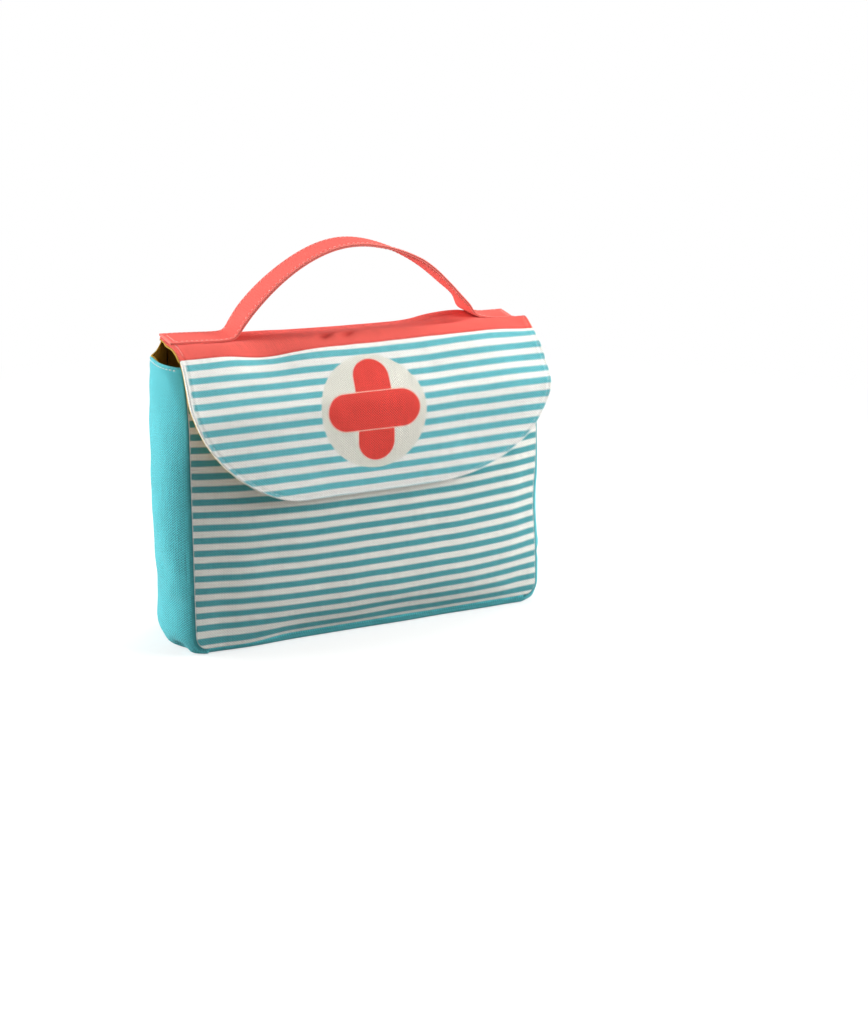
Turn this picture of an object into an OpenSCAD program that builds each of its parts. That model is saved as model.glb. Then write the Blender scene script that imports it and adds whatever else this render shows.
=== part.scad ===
// Toy doctor case: a stiffened cloth satchel with a fold-over flap and a strap handle.
// X runs across the case, Y from front to back, Z up; the origin is on the floor, under the middle.

/* [Case] */
// Width between the side seams at the mouth
case_w = 230; // [210:1:260]
// Height of the front panel's top edge
front_h = 183; // [170:1:184]
// Height of the back panel's top edge, where the flap is sewn on
back_h = 190; // [188:1:190]
// Depth between the front and back seams at the base
base_d = 72; // [68:1:76]
// How far the front seams lean back at the mouth
front_lean = 9; // [7:0.5:12]
// How far the back seams lean forward at the mouth
back_lean = 14; // [10:0.5:15]
// How much wider each side seam stands at the base than at the mouth
seam_flare = 2.5; // [0:0.5:5]
// Height of the bottom seam above the floor
seam_h = 4.5; // [3:0.5:6]
// Radius of the panels' lower corners
corner_r = 11; // [9:1:16]

/* [Stuffing out] */
// How far the front panel swells forward of its seams
front_swell = 14; // [6:1:14]
// How far the back panel swells behind its seams
back_swell = 8; // [3:1:8]
// How far a gusset swells out from the side seams
gusset_swell = 15.5; // [8:0.5:18]
// How far a gusset's open rim swells out
rim_swell = 12; // [6:0.5:14]

/* [Cloth] */
// Thickness of the outer canvas
canvas_t = 1.2; // [0.8:0.1:1.2]
// Thickness of the stiffening boards
board_t = 1.4; // [1:0.1:1.4]
// Thickness of the lining
lining_t = 0.8; // [0.5:0.1:0.8]
// Air between two layers
layer_gap = 0.3; // [0.2:0.05:0.3]

/* [Flap] */
// Half of the flap's width along its top
flap_half_top = 116; // [100:1:120]
// Half of the flap's width where it is widest
flap_half_wide = 118.5; // [102:0.5:122]
// Radius of the flap's lower corners
flap_corner_r = 67; // [30:1:80]
// Height of the flap's lower edge above the floor
flap_edge_z = 101; // [95:1:110]
// Distance from the hinge to the seam between the red band and the striped panel
band_len = 53; // [46:1:56]
// Height of the flap's flat top
flap_top_z = 193; // [193:0.5:194]

/* [Handle] */
// Width of the handle strap
strap_w = 28; // [20:1:30]
// Thickness of the doubled strap
strap_t = 2.2; // [1.6:0.1:2.6]
// Height of the arch above the flap
handle_rise = 50; // [40:1:54]
// Half of the arch's span, measured where its curve would meet the flap
handle_half_span = 81.5; // [70:0.5:84]
// How far the arch leans to the right
handle_sway = 4; // [0:0.5:6]

/* [Closure] */
// Width of the touch-fastener patches
patch_w = 40; // [20:1:60]
// Height of the touch-fastener patches
patch_h = 16; // [10:1:16]
// Thickness of each patch
patch_t = 1.3; // [0.8:0.1:1.4]

/* [Hidden] */

teal = "#4FBFC6";
stripe = "#8FD0D4";
coral = "#F0605F";
mustard = "#BE9628";
board_grey = "#B9AE9A";
patch_white = "#F2F2EE";

// Depths of the layers, counted inwards from the outer face
board_at = canvas_t + layer_gap;
lining_at = board_at + board_t + layer_gap;
lining_end = lining_at + lining_t;

// Front seam's place at the base, set so that the closed case is centred on the origin
front_seam_y0 = -27.5;
back_seam_y0 = front_seam_y0 + base_d;

// Rows up a panel: the first ones go round its lower corner
corner_rows = 3;
side_rows = 8;
last_row = corner_rows + side_rows;
panel_cols = 10;
gusset_cols = 8;

function mix(a, b, k) = a + (b - a) * k;
function smooth(k) = let (c = min(1, max(0, k))) c * c * (3 - 2 * c);

// Side seam's distance from the middle at a height, for a layer at depth t
function seam_x(z, t) = case_w / 2 + seam_flare * (1 - z / front_h) - t;

// Front seam stands upright, then leans back towards the mouth
lean_from_z = 145;
function front_seam_y(z, t) =
    front_seam_y0 + t + front_lean * pow(max(0, z - lean_from_z) / (front_h - lean_from_z), 1.6);
function back_seam_y(z, t) = back_seam_y0 - t - back_lean * pow(z / back_h, 1.3);

// Angle of a row from straight down, as it goes round the lower corner, then 90 up the side
function row_angle(i) = i < corner_rows ? 90 * i / corner_rows : 90;
function row_z(i, top, t) =
    i <= corner_rows
    ? seam_h + t + (corner_r - t) * (1 - cos(row_angle(i)))
    : mix(seam_h + corner_r, top, (i - corner_rows) / side_rows);
function row_half(i, z, t) = seam_x(z, t) - (corner_r - t) * (1 - sin(row_angle(i)));

// Swelling of the front panel: it fills quickly above the bottom seam and flattens at the mouth
front_full_z = 50;
front_fade_z = 100;
function front_fill(z, t) =
    z < front_full_z
    ? 1 - pow(1 - (z - seam_h - t) / (front_full_z - seam_h - t), 2.2)
    : 1 - 0.85 * pow(max(0, z - front_fade_z) / (front_h - front_fade_z), 1.5);
function back_fill(z, t) = sin(180 * pow(max(0, z - seam_h - t) / (back_h - seam_h - t), 0.8));
function across(a) = 1 - pow(abs(a), 2.8);

function front_point(a, i, t) =
    let (z = row_z(i, front_h, t))
    [a * row_half(i, z, t), front_seam_y(z, t) - front_swell * across(a) * front_fill(z, t), z];
function back_point(a, i, t) =
    let (z = row_z(i, back_h, t))
    [a * row_half(i, z, t), back_seam_y(z, t) + back_swell * across(a) * back_fill(z, t), z];

// The gusset's rim is level from the front seam, then rises to the back panel's top edge
function rim_z(u) = mix(front_h, back_h, smooth((u - 0.55) / 0.45));

// Cross-section of the strip under the case: flat on the floor, turned up to its two seams
flat_share = 0.72;
function floor_drop(u) =
    seam_h * (1 - pow(max(0, abs(2 * u - 1) - flat_share) / (1 - flat_share), 2));

// A gusset's swelling at a height: full at half height, less at the open rim
fullest_z = 100;
function side_swell(z) =
    gusset_swell - (gusset_swell - rim_swell) * pow(max(0, z - fullest_z) / (front_h - fullest_z), 1.5);
function side_round(u) = 1 - pow(abs(2 * pow(u, 0.85) - 1), 2.2);

// Point of the side strip: u runs from the front seam to the back seam, row i up the side
function gusset_point(side, u, i, t) =
    let (
        z = row_z(i, rim_z(u), t),
        a = row_angle(i),
        swell = mix(floor_drop(u), side_swell(z) * side_round(u), pow(sin(a), 0.9)),
        x = row_half(i, z, t) + swell * sin(a),
        y = mix(front_seam_y(z, t), back_seam_y(z, t), u)
    )
    [side * x, y, max(t, z - swell * cos(a))];

// Solid between an outer grid of points and the matching inner grid
module shell(outer, inner) {
    rows = len(outer);
    cols = len(outer[0]);
    n = rows * cols;
    faces = concat(
        [for (i = [0 : rows - 2], j = [0 : cols - 2], k = [0 : 3])
            let (a = i * cols + j, b = a + 1, c = a + cols, d = c + 1)
            [[a, c, b], [b, c, d], [n + a, n + b, n + c], [n + b, n + d, n + c]][k]],
        [for (j = [0 : cols - 2], k = [0 : 3])
            let (a = j, b = j + 1, c = (rows - 1) * cols + j, d = c + 1)
            [[a, b, n + b], [a, n + b, n + a], [d, c, n + c], [d, n + c, n + d]][k]],
        [for (i = [0 : rows - 2], k = [0 : 3])
            let (a = i * cols, c = a + cols, b = a + cols - 1, d = b + cols)
            [[c, a, n + a], [c, n + a, n + c], [b, d, n + d], [b, n + d, n + b]][k]]
    );
    polyhedron([for (g = [outer, inner], row = g, p = row) p], faces);
}

function front_grid(t) =
    [for (i = [0 : last_row]) [for (j = [0 : panel_cols]) front_point(2 * j / panel_cols - 1, i, t)]];
function back_grid(t) =
    [for (i = [0 : last_row]) [for (j = [0 : panel_cols]) back_point(1 - 2 * j / panel_cols, i, t)]];
function gusset_grid(side, t) =
    [for (i = [0 : last_row]) [for (j = [0 : gusset_cols])
        gusset_point(side, side > 0 ? j / gusset_cols : 1 - j / gusset_cols, i, t)]];

// A board is the panel's own grid without its outermost rows and columns
function trimmed(grid) =
    [for (i = [corner_rows - 1 : len(grid) - 2]) [for (j = [1 : len(grid[0]) - 2]) grid[i][j]]];

module strip_under(t0, t1) {
    steps = 24;
    function rim_point(u, t) =
        let (z = seam_h + t)
        [mix(front_seam_y(z, t), back_seam_y(z, t), u), z - floor_drop(u)];
    half = row_half(0, seam_h + t0, t0);
    rotate([90, 0, 90])
        translate([0, 0, -half])
        linear_extrude(2 * half)
        polygon(concat(
            [for (k = [0 : steps]) rim_point(k / steps, t0)],
            [for (k = [steps : -1 : 0]) rim_point(k / steps, t1)]
        ));
}

// Flap's line in the YZ plane: heading below level at each distance from the hinge
flap_turns = [[0, 0], [32, 0], [64, 54], [86, 56], [96, 82], [150, 92]];
flap_len = 150;
hinge_y = back_seam_y(back_h, 0);
flap_start = 0.3;
flap_line = [
    for (
        s = 0, p = [hinge_y, flap_top_z];
        s <= flap_len;
        s = s + 1,
        p = p - [cos(lookup(s - 0.5, flap_turns)), sin(lookup(s - 0.5, flap_turns))]
    ) p
];
function flap_at(s, t) =
    let (k = min(flap_len - 1, floor(s)), h = lookup(s, flap_turns))
    mix(flap_line[k], flap_line[k + 1], s - k) + t * [sin(h), -cos(h)];

// Strip of the flap between two distances from the hinge and two depths
module flap_strip(s0, s1, t0, t1) {
    steps = ceil((s1 - s0) / 4);
    rotate([90, 0, 90])
        translate([0, 0, -flap_half_wide - 1])
        linear_extrude(2 * flap_half_wide + 2)
        polygon(concat(
            [for (k = [0 : steps]) flap_at(mix(s0, s1, k / steps), t0)],
            [for (k = [steps : -1 : 0]) flap_at(mix(s0, s1, k / steps), t1)]
        ));
}

// Flap's outline from the front, pulled in by inset
widest_z = flap_edge_z + flap_corner_r;
module flap_outline(inset) {
    r = flap_corner_r - inset;
    cx = flap_half_wide - flap_corner_r;
    right = concat(
        [[flap_half_top - inset, flap_top_z + 5], [flap_half_top - inset, 181]],
        [for (a = [0 : 7.5 : 90]) [cx + r * cos(a), widest_z - r * sin(a)]]
    );
    rotate([90, 0, 0])
        translate([0, 0, -60])
        linear_extrude(160)
        polygon(concat(right, [for (k = [len(right) - 1 : -1 : 0]) [-right[k][0], right[k][1]]]));
}

module flap_piece(s0, s1, t0, t1, inset) {
    intersection() {
        flap_strip(s0, s1, t0, t1);
        flap_outline(inset);
    }
}

// Strap's middle line in the XZ plane: flat end, bend, arch, bend, flat end
strap_floor_z = flap_top_z + 0.2;
strap_mid_z = strap_floor_z + strap_t / 2;
strap_end_x = flap_half_top - 1;
strap_y = hinge_y - 0.7 - strap_w / 2;
arch_x = handle_half_span - 1.7;
arch_slope = atan(2 * handle_rise * arch_x / pow(handle_half_span, 2));
arch_foot = handle_rise * (1 - pow(arch_x / handle_half_span, 2));
bend_r = arch_foot / (1 - cos(arch_slope));
bend_x = arch_x + bend_r * sin(arch_slope);

// Half of the strap's line from its end to the top of the arch, as [x, z, slope]
half_strap = concat(
    [[-strap_end_x, 0, 0]],
    [for (k = [0 : 4]) let (a = arch_slope * k / 4) [-bend_x + bend_r * sin(a), bend_r * (1 - cos(a)), a]],
    [for (k = [1 : 14]) let (x = -arch_x * (1 - k / 14), m = -2 * handle_rise * x / pow(handle_half_span, 2))
        [x, handle_rise * (1 - pow(x / handle_half_span, 2)), atan(m)]]
);
function swayed(p) = [p[0] + handle_sway * min(1, (strap_end_x - abs(p[0])) / (strap_end_x - bend_x)), p[1], p[2]];
whole_strap = [
    for (k = [0 : 2 * len(half_strap) - 2])
    let (q = len(half_strap) - 1)
    swayed(k <= q ? half_strap[k] : [-half_strap[2 * q - k][0], half_strap[2 * q - k][1], -half_strap[2 * q - k][2]])
];
function strap_side(t) = [for (p = whole_strap) [p[0] - t * sin(p[2]), strap_mid_z + p[1] + t * cos(p[2])]];

module whole_strap_solid() {
    under = strap_side(-strap_t / 2);
    translate([0, strap_y + strap_w / 2, 0])
        rotate([90, 0, 0])
        linear_extrude(strap_w)
        polygon(concat(strap_side(strap_t / 2), [for (k = [len(under) - 1 : -1 : 0]) under[k]]));
}

// The arch turns about this height, so its two roots are cut to a vee that clears the ends
handle_axis_z = strap_floor_z + 5;
front_tilt = 37;
back_tilt = 22;
axis_gap = 0.4;

// Part of the strap below the handle's axis, on one side
module strap_end(side) {
    reach = strap_end_x + 5;
    intersection() {
        whole_strap_solid();
        translate([side > 0 ? 0 : -reach, strap_y - strap_w, strap_floor_z - 1])
            cube([reach, 2 * strap_w, handle_axis_z - axis_gap - strap_floor_z + 1]);
    }
}

// Touch-fastener patches near the flap's lower edge; the hook side follows the flap
patch_from_s = 124;
patch_z = 110;
hook_gap = 0.1;
patch_rows = 4;
patch_steps = 6;
function patch_x(j) = patch_w * (j / patch_steps - 0.5);
function patch_point(i, j, t) =
    let (z = patch_z + patch_h * (i / patch_rows - 0.5), a = patch_x(j) / seam_x(z, 0))
    [patch_x(j), front_seam_y(z, 0) - t - front_swell * across(a) * front_fill(z, 0), z];
function patch_grid(t) = [for (i = [0 : patch_rows]) [for (j = [0 : patch_steps]) patch_point(i, j, t)]];

module front_panel() { color(stripe) shell(front_grid(0), front_grid(canvas_t)); }
module back_panel() { color(stripe) shell(back_grid(0), back_grid(canvas_t)); }
module left_gusset() { color(teal) shell(gusset_grid(-1, 0), gusset_grid(-1, canvas_t)); }
module right_gusset() { color(teal) shell(gusset_grid(1, 0), gusset_grid(1, canvas_t)); }
module bottom_panel() { color(teal) strip_under(0, canvas_t); }

module front_board() {
    color(board_grey) shell(trimmed(front_grid(board_at)), trimmed(front_grid(board_at + board_t)));
}
module back_board() {
    color(board_grey) shell(trimmed(back_grid(board_at)), trimmed(back_grid(board_at + board_t)));
}
module base_board() {
    depth = (flat_share - 0.04) * base_d;
    width = 2 * (case_w / 2 - corner_r - 2);
    color(board_grey)
        translate([-width / 2, front_seam_y0 + (base_d - depth) / 2, board_at])
        cube([width, depth, board_t]);
}

module front_lining() { color(mustard) shell(front_grid(lining_at), front_grid(lining_end)); }
module back_lining() { color(mustard) shell(back_grid(lining_at), back_grid(lining_end)); }
module left_gusset_lining() {
    color(mustard) shell(gusset_grid(-1, lining_at), gusset_grid(-1, lining_end));
}
module right_gusset_lining() {
    color(mustard) shell(gusset_grid(1, lining_at), gusset_grid(1, lining_end));
}
module bottom_lining() { color(mustard) strip_under(lining_at, lining_end); }

module flap_band() { color(coral) flap_piece(flap_start, band_len, 0, canvas_t, 0); }
module flap_panel() { color(stripe) flap_piece(band_len, flap_len, 0, canvas_t, 0); }
module flap_band_lining() {
    color(mustard) flap_piece(flap_start, band_len, canvas_t + layer_gap, canvas_t + layer_gap + lining_t, 1);
}
module flap_panel_lining() {
    color(mustard) flap_piece(band_len, flap_len, canvas_t + layer_gap, canvas_t + layer_gap + lining_t, 1);
}

module hook_patch() {
    from_t = canvas_t + layer_gap + lining_t + hook_gap;
    color(patch_white)
        intersection() {
            flap_strip(patch_from_s, patch_from_s + patch_h, from_t, from_t + patch_t);
            translate([-patch_w / 2, -80, 0])
                cube([patch_w, 80, flap_top_z]);
        }
}
module loop_patch() { color(patch_white) shell(patch_grid(patch_t), patch_grid(0)); }

module handle_left_end() { color(coral) strap_end(-1); }
module handle_right_end() { color(coral) strap_end(1); }
module handle_strap() {
    half = strap_w;
    color(coral)
        difference() {
            whole_strap_solid();
            rotate([90, 0, 90])
                translate([strap_y, handle_axis_z, -strap_end_x - 5])
                linear_extrude(2 * strap_end_x + 10)
                polygon([
                    [0, 0], [half, half * tan(back_tilt)], [half, -half],
                    [-half, -half], [-half, half * tan(front_tilt)]
                ]);
        }
}

front_panel();
back_panel();
left_gusset();
right_gusset();
bottom_panel();
front_board();
back_board();
base_board();
front_lining();
back_lining();
left_gusset_lining();
right_gusset_lining();
bottom_lining();
loop_patch();
flap_band();
flap_band_lining();
handle_left_end();
handle_right_end();
flap_panel();
flap_panel_lining();
hook_patch();
handle_strap();
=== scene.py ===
import math

import bmesh
import bpy
import numpy as np
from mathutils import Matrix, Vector


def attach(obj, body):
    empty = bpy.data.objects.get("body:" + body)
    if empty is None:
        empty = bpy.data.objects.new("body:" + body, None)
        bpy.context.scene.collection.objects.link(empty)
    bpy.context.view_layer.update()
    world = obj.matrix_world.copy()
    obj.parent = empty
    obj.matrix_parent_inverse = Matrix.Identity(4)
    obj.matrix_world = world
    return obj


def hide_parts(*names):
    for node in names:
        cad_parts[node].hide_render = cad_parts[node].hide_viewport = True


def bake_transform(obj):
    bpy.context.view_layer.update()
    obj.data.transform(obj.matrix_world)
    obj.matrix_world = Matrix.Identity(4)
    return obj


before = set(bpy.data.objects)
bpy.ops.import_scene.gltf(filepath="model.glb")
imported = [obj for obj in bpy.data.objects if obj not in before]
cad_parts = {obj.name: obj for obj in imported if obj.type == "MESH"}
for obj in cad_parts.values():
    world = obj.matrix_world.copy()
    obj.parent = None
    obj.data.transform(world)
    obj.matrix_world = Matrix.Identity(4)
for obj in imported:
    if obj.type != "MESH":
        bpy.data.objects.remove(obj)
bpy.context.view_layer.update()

# Measures below are in millimetres, in the frame of the CAD model; meshes are written in metres.
MM = 0.001

# The case, as in the CAD source
CASE_W, FRONT_H, BACK_H, BASE_D = 230.0, 183.0, 190.0, 72.0
FRONT_LEAN, BACK_LEAN, LEAN_FROM_Z = 9.0, 14.0, 145.0
SEAM_FLARE, SEAM_H, CORNER_R = 2.5, 6.6, 8.5
CORNER_TOP_Z = SEAM_H + CORNER_R
FRONT_SWELL, BACK_SWELL, GUSSET_SWELL, RIM_SWELL = 14.0, 8.0, 15.5, 10.6
RIGHT_SHARE_LOW, RIGHT_SHARE_HIGH = 0.6, 0.4
FRONT_SEAM_Y0 = -27.5
BACK_SEAM_Y0 = FRONT_SEAM_Y0 + BASE_D
FRONT_FULL_Z, FRONT_FADE_Z, FULLEST_Z, FLAT_SHARE, BOARD_SHARE = 50.0, 100.0, 100.0, 0.84, 0.68
GUSSET_DEPTH, RIM_FULL_U = 68.0, 0.68

# Cloth thicknesses, and the two depths between which each layer lies, counted inwards
CANVAS_T, BOARD_T, LINING_T, GAP = 1.2, 1.4, 0.8, 0.3
CANVAS = (0, CANVAS_T)
BOARD = (CANVAS_T + GAP, CANVAS_T + GAP + BOARD_T)
LINING = (BOARD[1] + GAP, BOARD[1] + GAP + LINING_T)
GUSSET_LINING = (CANVAS_T + 0.2, CANVAS_T + 0.2 + LINING_T)
FLAP_LINING = (CANVAS_T + GAP, CANVAS_T + GAP + LINING_T)

# The flap and its print
FLAP_TOP_Z, HINGE_Y, BAND_LEN = 193.0, 30.5, 51.4
STRIPE_PITCH, STRIPE_W = 8.2, 4.1
BODY_STRIPE_Z, FLAP_STRIPE_S = 60.8, 57.6

# The handle strap
STRAP_W, STRAP_T, HANDLE_RISE, HANDLE_HALF = 28.0, 2.2, 50.0, 81.5
STRAP_MID_Z = FLAP_TOP_Z + 0.2 + STRAP_T / 2
STRAP_Y = HINGE_Y - 0.7 - STRAP_W / 2
STRAP_END_X = 116.0

# Distances from an edge at which a mesh has a line, so that rolled edges and hems have their shape
EDGE = (0, 0.25, 0.5, 0.8, 1.2, 1.7, 2.2, 2.7, 3.2, 3.7, 4.3, 5.2, 6.6, 8.6)
FLAP_EDGE = (0, 0.3, 0.7, 1.2, 1.8, 2.3, 2.8, 3.3, 3.8, 4.4, 5.2, 6.4, 8.2, 10.5)
# Distance from an edge that a cloth's third coordinate gives at most
FAR_IN = 40


def mix(a, b, k):
    return a + (b - a) * k


def smooth(k):
    """0 below 0, 1 above 1, and a soft step between them."""
    c = np.clip(k, 0, 1)
    return c * c * (3 - 2 * c)


def hill(v, centre, width):
    return np.exp(-(((v - centre) / width) ** 2))


def hills(rows, p, q):
    """A sum of soft bumps; each row is a height, the centre and width along p, and those along q."""
    return sum(height * hill(p, *along_p) * hill(q, *along_q) for height, along_p, along_q in rows)


def ripple(u, v, scale, seed, waves=6):
    """Smooth unevenness between about -1 and 1, the same on each run."""
    draw = np.random.default_rng(seed).uniform
    total = 0
    for _ in range(waves):
        turn, phase, size = draw(0, math.pi), draw(0, 2 * math.pi), draw(0.7, 1.4)
        along = u * math.cos(turn) + v * math.sin(turn)
        total = total + np.sin(along * 2 * math.pi / (scale * size) + phase)
    return total / math.sqrt(waves * 2)


def softened(x, knots, reach):
    """Value at x of a line through knots of (x, value), softened over a reach."""
    return sum(np.interp(x + reach * k, *zip(*knots)) for k in (-1, 0, 1)) / 3


def columns(*values):
    """An array of points or of other rows of numbers from their separate values."""
    return np.stack(np.broadcast_arrays(*values), -1)


def grid(rows, cols):
    return np.meshgrid(np.asarray(rows, float), np.asarray(cols, float), indexing="ij")


def steps(start, end, step, near, size=1.0, near_start=True):
    """Positions from start to end in parts of a size, with lines near the ends at the distances given."""
    first, last = [start + d / size for d in near if near_start] or [start], [end - d / size for d in near]
    count = max(2, int(round((last[-1] - first[-1]) * size / step)) + 1)
    return np.array([*first[:-1], *np.linspace(first[-1], last[-1], count), *last[:-1][::-1]])


def unit(v):
    return v / np.maximum(np.linalg.norm(v, axis=-1, keepdims=True), 1e-9)


def lengths(line):
    """Distance of each point of a line from its start, along the line."""
    return np.concatenate([[0], np.cumsum(np.linalg.norm(np.diff(line, axis=0), axis=1))])


def evenly(line, step):
    """Points at equal steps along a line of points."""
    at = lengths(line)
    wanted = np.arange(0.0, at[-1], step)
    return columns(*(np.interp(wanted, at, column) for column in line.T))


# Surfaces of the case. Each gives points for a place on the cloth and a depth t, counted inwards.


def seam_x(z, t):
    return CASE_W / 2 + SEAM_FLARE * (1 - z / FRONT_H) - t


def front_seam_y(z, t):
    lean = np.maximum(0, z - LEAN_FROM_Z) / (FRONT_H - LEAN_FROM_Z)
    return FRONT_SEAM_Y0 + t + FRONT_LEAN * lean**1.6


def back_seam_y(z, t):
    return BACK_SEAM_Y0 - t - BACK_LEAN * (z / BACK_H) ** 1.3


def row_z(angle, up, top, t):
    """Height of a row: angle goes from 0 to 90 round the lower corner, then up goes from 0 to 1."""
    low = SEAM_H + t + (CORNER_R - t) * (1 - np.cos(np.radians(angle)))
    return np.where(up > 0, mix(CORNER_TOP_Z, top, up), low)


def row_half(angle, z, t):
    return seam_x(z, t) - (CORNER_R - t) * (1 - np.sin(np.radians(angle)))


def across(a):
    return 1 - abs(a) ** 2.8


def front_fill(z, t):
    low = 1 - np.clip(1 - (z - SEAM_H - t) / (FRONT_FULL_Z - SEAM_H - t), 0, 1) ** 2.2
    high = 1 - 0.85 * (np.maximum(0, z - FRONT_FADE_Z) / (FRONT_H - FRONT_FADE_Z)) ** 1.5
    return np.where(z < FRONT_FULL_Z, low, high)


def back_fill(z, t):
    k = np.clip((z - SEAM_H - t) / (BACK_H - SEAM_H - t), 0, 1)
    return np.sin(math.pi * k**0.8)


def inside_seams(x, z):
    """0 at the side and lower seams of a panel, 1 well inside them."""
    return smooth((114 - abs(x)) / 14) * smooth((z - 6) / 12)


# Dents and bumps of the front cloth, as rows for hills() in x and z: two in the middle above the lower
# seam, one beside the right seam and one beside the left seam
FRONT_HILLS = (
    (-1.8, (12, 17), (15, 8)),
    (1.0, (16, 20), (29, 8)),
    (0.9, (98, 9), (70, 34)),
    (-0.8, (-100, 8), (45, 30)),
)


def front_wave(x, z):
    """How far the front cloth stands forward of its even swell."""
    folds = 0.55 * ripple(x, z * 0.7, 62, 3) + 0.25 * ripple(x, z, 27, 4)
    pull = 0.7 * np.sin((x * 0.55 + z) / 7.5) * hill(x, 98, 18) * hill(z, 22, 18)
    return inside_seams(x, z) * (folds + hills(FRONT_HILLS, x, z) + pull)


def back_wave(x, z):
    folds = 0.6 * ripple(x, z * 0.8, 70, 8) + 0.25 * ripple(x, z, 30, 9)
    return inside_seams(x, z) * smooth((188 - z) / 14) * folds


# How far the top edge of the back panel and flap sinks: x, and the drop there
TOP_SAG = (
    (-120, 0.3), (-104, 0.8), (-84, 2.0), (-62, 2.2), (-38, 3.2), (0, 4.2), (38, 4.6),
    (50, 3.9), (60, 1.9), (68, 1.0), (78, 0.6), (87, 1.2), (98, 4.7), (120, 5.1),
)


def top_sag(x):
    return softened(x, TOP_SAG, 3.0)


def top_share(x, s):
    """How much of that drop the flap has at a distance from its hinge: more of it under the strap's ends."""
    under = smooth((abs(x) - 60) / 25)
    return 1 - smooth((s - mix(6, 23, under)) / mix(38, 17, under))


def back_sag(x, z):
    """How much of that drop the back panel and a gusset's rear edge have at a height."""
    return top_sag(x) * smooth((z - 130) / 60)


def seam_drop(x, z):
    """How far the front's lower seam hangs below its even line, near the left corner."""
    return 1.9 * smooth((-x - 55) / 30) * (1 - smooth((z - SEAM_H) / 14))


def seam_bulge(x):
    """How far the front's lower seam stands forward, near the left corner."""
    return 1.6 * hill(x, -82, 17)


def seam_pull(x, z):
    """How far the right side seam is drawn in, low on the case."""
    return 2.0 * hill(z, 72, 24) * smooth((x - 70) / 45)


def front_y(a, x, z, t):
    return front_seam_y(z, t) - FRONT_SWELL * across(a) * front_fill(z, t) - front_wave(x, z)


def front_surface(a, angle, up, t):
    z = row_z(angle, up, FRONT_H, t)
    x = a * row_half(angle, z, t)
    y = front_y(a, x, z, t) - seam_bulge(x) * (1 - smooth((z - 6) / 16))
    return columns(x - seam_pull(x, z), y, z - seam_drop(x, z))


def back_surface(a, angle, up, t):
    z = row_z(angle, up, BACK_H, t)
    x = a * row_half(angle, z, t)
    y = back_seam_y(z, t) + BACK_SWELL * across(a) * back_fill(z, t) + back_wave(x, z)
    return columns(x, y, z - back_sag(x, z))


def rim_z(u):
    """Height of a gusset's rim; u goes from 0 at the front seam to 1 at the back one."""
    return mix(FRONT_H, BACK_H, smooth((u - 0.74) / 0.2))


def floor_drop(u):
    """How far the bottom hangs below its seams."""
    return SEAM_H * (1 - (np.maximum(0, abs(2 * u - 1) - FLAT_SHARE) / (1 - FLAT_SHARE)) ** 2)


def side_swell(z):
    k = np.maximum(0, z - FULLEST_Z) / (FRONT_H - FULLEST_Z)
    return GUSSET_SWELL - (GUSSET_SWELL - RIM_SWELL) * k**1.5


def side_round(u, z):
    """Share of a gusset's swell round its depth; towards the open rim the fullest place is further back."""
    full = 1 - abs(2 * u**0.85 - 1) ** 2.2
    before = 1 - np.clip(1 - u / RIM_FULL_U, 0, 1) ** 3
    behind = 1 - smooth((u - RIM_FULL_U - 0.04) / 0.22)
    return mix(full, np.where(u < RIM_FULL_U, before, behind), smooth((z - 105) / 60))


def right_share(z):
    """The right gusset stands out less than the left one."""
    return mix(RIGHT_SHARE_LOW, RIGHT_SHARE_HIGH, smooth((z - 85) / 35))


def within(u, front, back):
    """0 at a gusset's seams and 1 further in; front and back are the shares of its depth between."""
    return smooth(u / front) * smooth((1 - u) / back)


# A gusset's creases low at its front seam, as rows for hills() in u and z, and the folds of its lower
# corner, in the corner's angle and u
GUSSET_CREASES = ((-1.3, (0.13, 0.09), (35, 2.8)), (0.8, (0.16, 0.12), (41, 4)))
GUSSET_CORNER = (
    (-3.4, (52, 13), (0.19, 0.06)),
    (0.9, (62, 14), (0.32, 0.08)),
    (1.2, (34, 15), (0.09, 0.05)),
)


def gusset_wave(side, u, angle, z):
    """How far a gusset's cloth stands out from its even swell; the left one hangs slack, low down."""
    depth = u * 60
    folds = 0.5 * ripple(depth, z * 0.45, 46, 11 + side) + 0.25 * ripple(depth, z, 24, 15 + side)
    crease = hills(GUSSET_CREASES, u, z) - 0.7 * hill(u, 0.3, 0.08) * hill(z - 40 * u, 44, 6)
    corner = np.where(z < 30, hills(GUSSET_CORNER, angle, u), 0.0)
    slack = -1.7 * hill(z, 34, 34) * within(u, 0.3, 0.2) if side < 0 else 0.0
    folds = folds * within(u, 0.16, 0.16) * smooth((z - 12) / 20)
    return folds + within(u, 0.05, 0.1) * (crease + corner) + slack


def gusset_surface(side, u, angle, up, t, inward=0.0):
    z = row_z(angle, up, rim_z(u), t)
    turn = np.radians(angle)
    round_swell = side_swell(z) * side_round(u, z) * (right_share(z) if side > 0 else 1.0)
    swell = mix(floor_drop(u), round_swell, np.sin(turn) ** 0.9)
    swell = swell + gusset_wave(side, u, angle, z) - inward
    x = row_half(angle, z, t) + swell * np.sin(turn)
    if side > 0:
        x = x - seam_pull(CASE_W / 2, z) * (1 - u)
    y = mix(front_seam_y(z, t), back_seam_y(z, t), u)
    sunk = back_sag(side * CASE_W / 2, z) * smooth((u - 0.72) / 0.28)
    sunk = sunk + seam_drop(side * x, z) * (1 - smooth(u / 0.1))
    return columns(side * x, y, np.maximum(t, z - swell * np.cos(turn) - sunk))


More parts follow.
